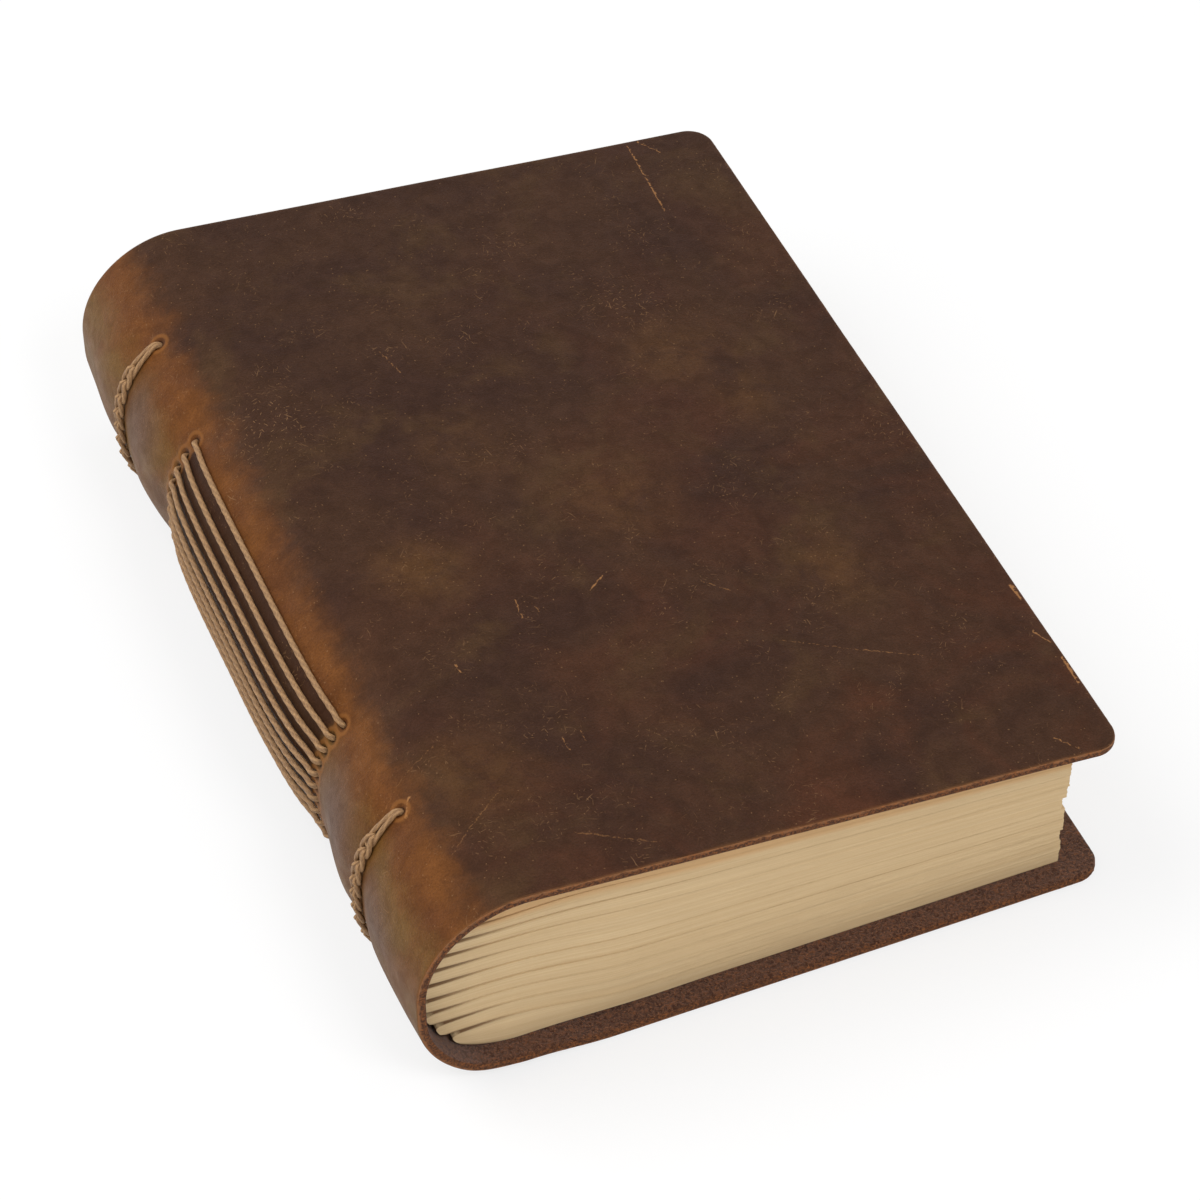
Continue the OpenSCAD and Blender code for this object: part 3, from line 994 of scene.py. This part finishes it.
def linkChain(bm, row):
    # a loop for every signature, each drawn through the end of the one before it
    r = threadForm["strandRound"]
    for k, (start, after) in enumerate(zip(chainRuns, chainRuns[1:])):
        reach = after - start
        wide = threadForm["linkReach"] * (0.7 if k == 0 else 1.0) * (1 + 0.12 * waver(k * 2.7, row))
        # share of the way to the next hole, sideways, rise
        shape = [(-0.05, 0.0, -1.6), (0.0, 0.1, -0.4), (0.1, 0.3, r + 0.75), (0.4, 0.62, r + 0.6),
                 (0.75, 0.95, r + 0.3), (1.05, 1.0, r + 0.1), (1.3, 0.62, r), (1.38, 0.0, r - 0.05)]
        # the first loop lies flat and the last one goes back into its hole
        if k == 0:
            shape[2:5] = [(0.12, 0.34, r + 0.1), (0.4, 0.5, r + 0.15), (0.8, 0.8, r + 0.15)]
        if k == len(chainRuns) - 2:
            shape = shape[:5] + [(1.0, 0.5, -0.4), (1.05, 0.0, -1.6)]
        lean = 0.12 * waver(k * 1.3, row, 4.0)
        half = [(start + reach * share, wide * side, rise) for share, side, rise in shape]
        back = [(s, -side, rise - 0.15) for s, side, rise in reversed(half[:-1])]
        points = [overSpine(s, row + side + lean, rise) for s, side, rise in half + back]
        addThread(bm, points, r)


def makeSewing():
    bm = bmesh.new()
    bm.verts.layers.float_vector.new("threadPlace")
    bm.verts.layers.float.new("plyGrooveShade")
    for i in range(sewing["signatures"]):
        longStitch(bm, i)
    for row in chainRows:
        linkChain(bm, row)
    rims = [edge for edge in bm.edges if edge.is_boundary]
    bmesh.ops.holes_fill(bm, edges=rims, sides=0)
    for face in bm.faces:
        face.smooth = len(face.verts) == 4
    return addPiece("waxed_thread", bm, [makeThread()])


thread = makeSewing()


# What moves with what
bendReach = 12.0       # width of the leather that bends at each hinge
hingePoint = at(hingeX, 0, hingeZ)
coverPoint = at(hingeX + bendReach * math.cos(slope), 0, hingeZ - bendReach * math.sin(slope))
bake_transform(frontLeather, "book_block", "front_cover", start=hingePoint, end=coverPoint)
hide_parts("spine_leather", "front_cover")
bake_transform(backLeather, "back_cover", "book_block", start=at(turnRound + bendReach, 0, 0),
         end=at(turnRound, 0, 0))
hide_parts("back_cover")
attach(pages, "book_block")
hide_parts("text_block")
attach(thread, "book_block")
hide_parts("sewing_thread")
print("pieces ride on their bodies")


# Studio
studio = {
    "floorReach": 6.0,
    "floorWhite": 0.8,
    "floorGlow": 0.72,
    "worldLight": 0.62,
    "keyPower": 19.0,
    "keySize": 1.2,
    "keyFrom": (-900.0, 500.0, 1300.0),
    "fillPower": 9.0,
    "fillSize": 0.5,
    "fillFrom": (250.0, -950.0, 1200.0),
}


def makeFloor():
    bm = bmesh.new()
    bmesh.ops.create_grid(bm, x_segments=1, y_segments=1, size=studio["floorReach"])
    mesh = bpy.data.meshes.new("floor")
    bm.to_mesh(mesh)
    bm.free()
    floor = bpy.data.objects.new("floor", mesh)
    floor.location.z = -0.0002
    scene.collection.objects.link(floor)
    material, tree, shader = newMaterial("floorWhite")
    tree.nodes.remove(shader)
    # a pale floor that looks nearly white and keeps the book's soft shadow
    path = wire(tree, "LightPath").outputs
    seen = math2(tree, "MAXIMUM", path["Is Camera Ray"],
                 math2(tree, "MAXIMUM", path["Is Glossy Ray"], path["Is Transmission Ray"]))
    plain = wire(tree, "BsdfDiffuse", {"Color": (studio["floorWhite"],) * 3 + (1.0,)})
    bright = wire(tree, "Emission", {"Color": (1.0, 1.0, 1.0, 1.0), "Strength": 1.0})
    shown = wire(tree, "MixShader", {0: part(tree, seen, studio["floorGlow"]), 1: plain.outputs[0],
                                     2: bright.outputs[0]})
    tree.links.new(shown.outputs[0], tree.nodes["Material Output"].inputs["Surface"])
    mesh.materials.append(material)


def makeWorld():
    world = bpy.data.worlds.new("studio")
    world.use_nodes = True
    scene.world = world
    tree = world.node_tree
    ground = tree.nodes["Background"]
    # white behind the book, and a softer light on it
    path = wire(tree, "LightPath").outputs
    seen = math2(tree, "MAXIMUM", path["Is Camera Ray"], path["Is Transmission Ray"])
    level = wire(tree, "MapRange", {"Value": seen, "To Min": studio["worldLight"], "To Max": 1.0})
    ground.inputs["Color"].default_value = (1.0, 1.0, 1.0, 1.0)
    tree.links.new(level.outputs[0], ground.inputs["Strength"])


def addLamp(name, place, power, size):
    lamp = bpy.data.lights.new(name, "AREA")
    lamp.energy, lamp.size = power, size
    holder = bpy.data.objects.new(name, lamp)
    holder.location = [value * mm for value in place]
    holder.rotation_euler = (-holder.location).to_track_quat("-Z", "Y").to_euler()
    scene.collection.objects.link(holder)


# The photograph's viewpoint, a long lens from beyond the spine and the tail
view = {
    "from": at(-162.96, -496.11, 667.99),
    "turn": 22.12,
    "tilt": 45.43,
    "roll": -0.63,
    "lens": 129.0,
}


def makeCamera():
    camera = bpy.data.cameras.new("view")
    camera.lens, camera.sensor_width = view["lens"], 36.0
    holder = bpy.data.objects.new("view", camera)
    scene.collection.objects.link(holder)
    holder.matrix_world = (Matrix.Translation(view["from"])
                           @ Matrix.Rotation(math.radians(-view["turn"]), 4, "Z")
                           @ Matrix.Rotation(math.radians(90 - view["tilt"]), 4, "X")
                           @ Matrix.Rotation(math.radians(view["roll"]), 4, "Z"))
    scene.camera = holder


makeFloor()
makeWorld()
addLamp("key", studio["keyFrom"], studio["keyPower"], studio["keySize"])
addLamp("fill", studio["fillFrom"], studio["fillPower"], studio["fillSize"])
makeCamera()
scene.view_settings.view_transform = "Standard"
print("studio ready")
